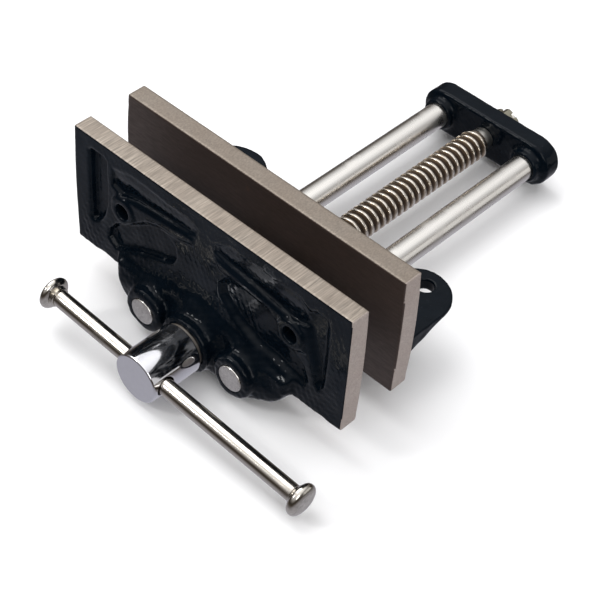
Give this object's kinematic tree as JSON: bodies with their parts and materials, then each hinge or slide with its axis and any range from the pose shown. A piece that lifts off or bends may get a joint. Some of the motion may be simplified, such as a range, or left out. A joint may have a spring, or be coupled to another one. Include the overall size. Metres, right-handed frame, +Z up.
{
  "type": "bench vise",
  "caption": "Woodworker's under-bench vise: cast jaws on twin guide bars, closed by a lead screw with a sliding handle.",
  "frame": {"origin": "midway between the two bench bolt holes, on the top face of the mounting flange that meets the underside of the bench", "axes": "+X to the right along the jaws as seen from the handle, +Y back under the bench along the screw, +Z up through the bench"},
  "size_m": [0.1916, 0.2827, 0.0903],
  "materials": {
    "enamel_casting": "glossy dark navy enamel on rough cast iron, clamping edges and faces machined bare",
    "ground_bar": "bright ground and plated bar",
    "screw_steel": "turned steel thread with dark oil in the roots",
    "chrome_plate": "bright chrome plate",
    "nickel_plate": "warm bright nickel plate with fine drawing marks",
    "zinc_plate": "pale yellow zinc plate",
    "spring_steel": "dark oiled spring steel",
    "nut_iron": "machined cast iron"
  },
  "bodies": {
    "fixed_jaw": {"rear_jaw": "enamel_casting", "main_nut": "nut_iron", "nut_pin": "spring_steel"},
    "moving_jaw": {"front_jaw": "enamel_casting", "left_guide_bar": "ground_bar", "right_guide_bar": "ground_bar", "guide_bar_front_pins": "spring_steel", "tie_plate": "enamel_casting", "guide_bar_rear_pins": "spring_steel"},
    "screw": {"lead_screw": "screw_steel", "screw_head": "chrome_plate", "head_pin": "spring_steel", "front_thrust_washer": "zinc_plate", "rear_thrust_washer": "zinc_plate", "retaining_ring": "spring_steel", "tail_washer": "zinc_plate", "tail_nut": "zinc_plate", "split_pin": "spring_steel"},
    "handle": {"handle_rod": "nickel_plate", "left_knob": "nickel_plate", "right_knob": "nickel_plate"}
  },
  "joints": [
    {"name": "jaw_slide", "type": "slide", "parent": "fixed_jaw", "child": "moving_jaw", "axis": [0, -1, 0], "range_m": [-0.0237, 0.1425]},
    {"name": "screw_turn", "type": "hinge", "parent": "moving_jaw", "child": "screw", "pos_m": [0, -0.1, -0.0167], "axis": [0, -1, 0], "range_deg": [-1860, 11165]},
    {"name": "handle_slide", "type": "slide", "parent": "screw", "child": "handle", "axis": [0.9987, 0, -0.0506], "range_m": [-0.0818, 0.0478]}
  ],
  "couplings": [
    {"joint": "screw_turn", "follows": "jaw_slide", "rad_per_m": 1365.9}
  ]
}
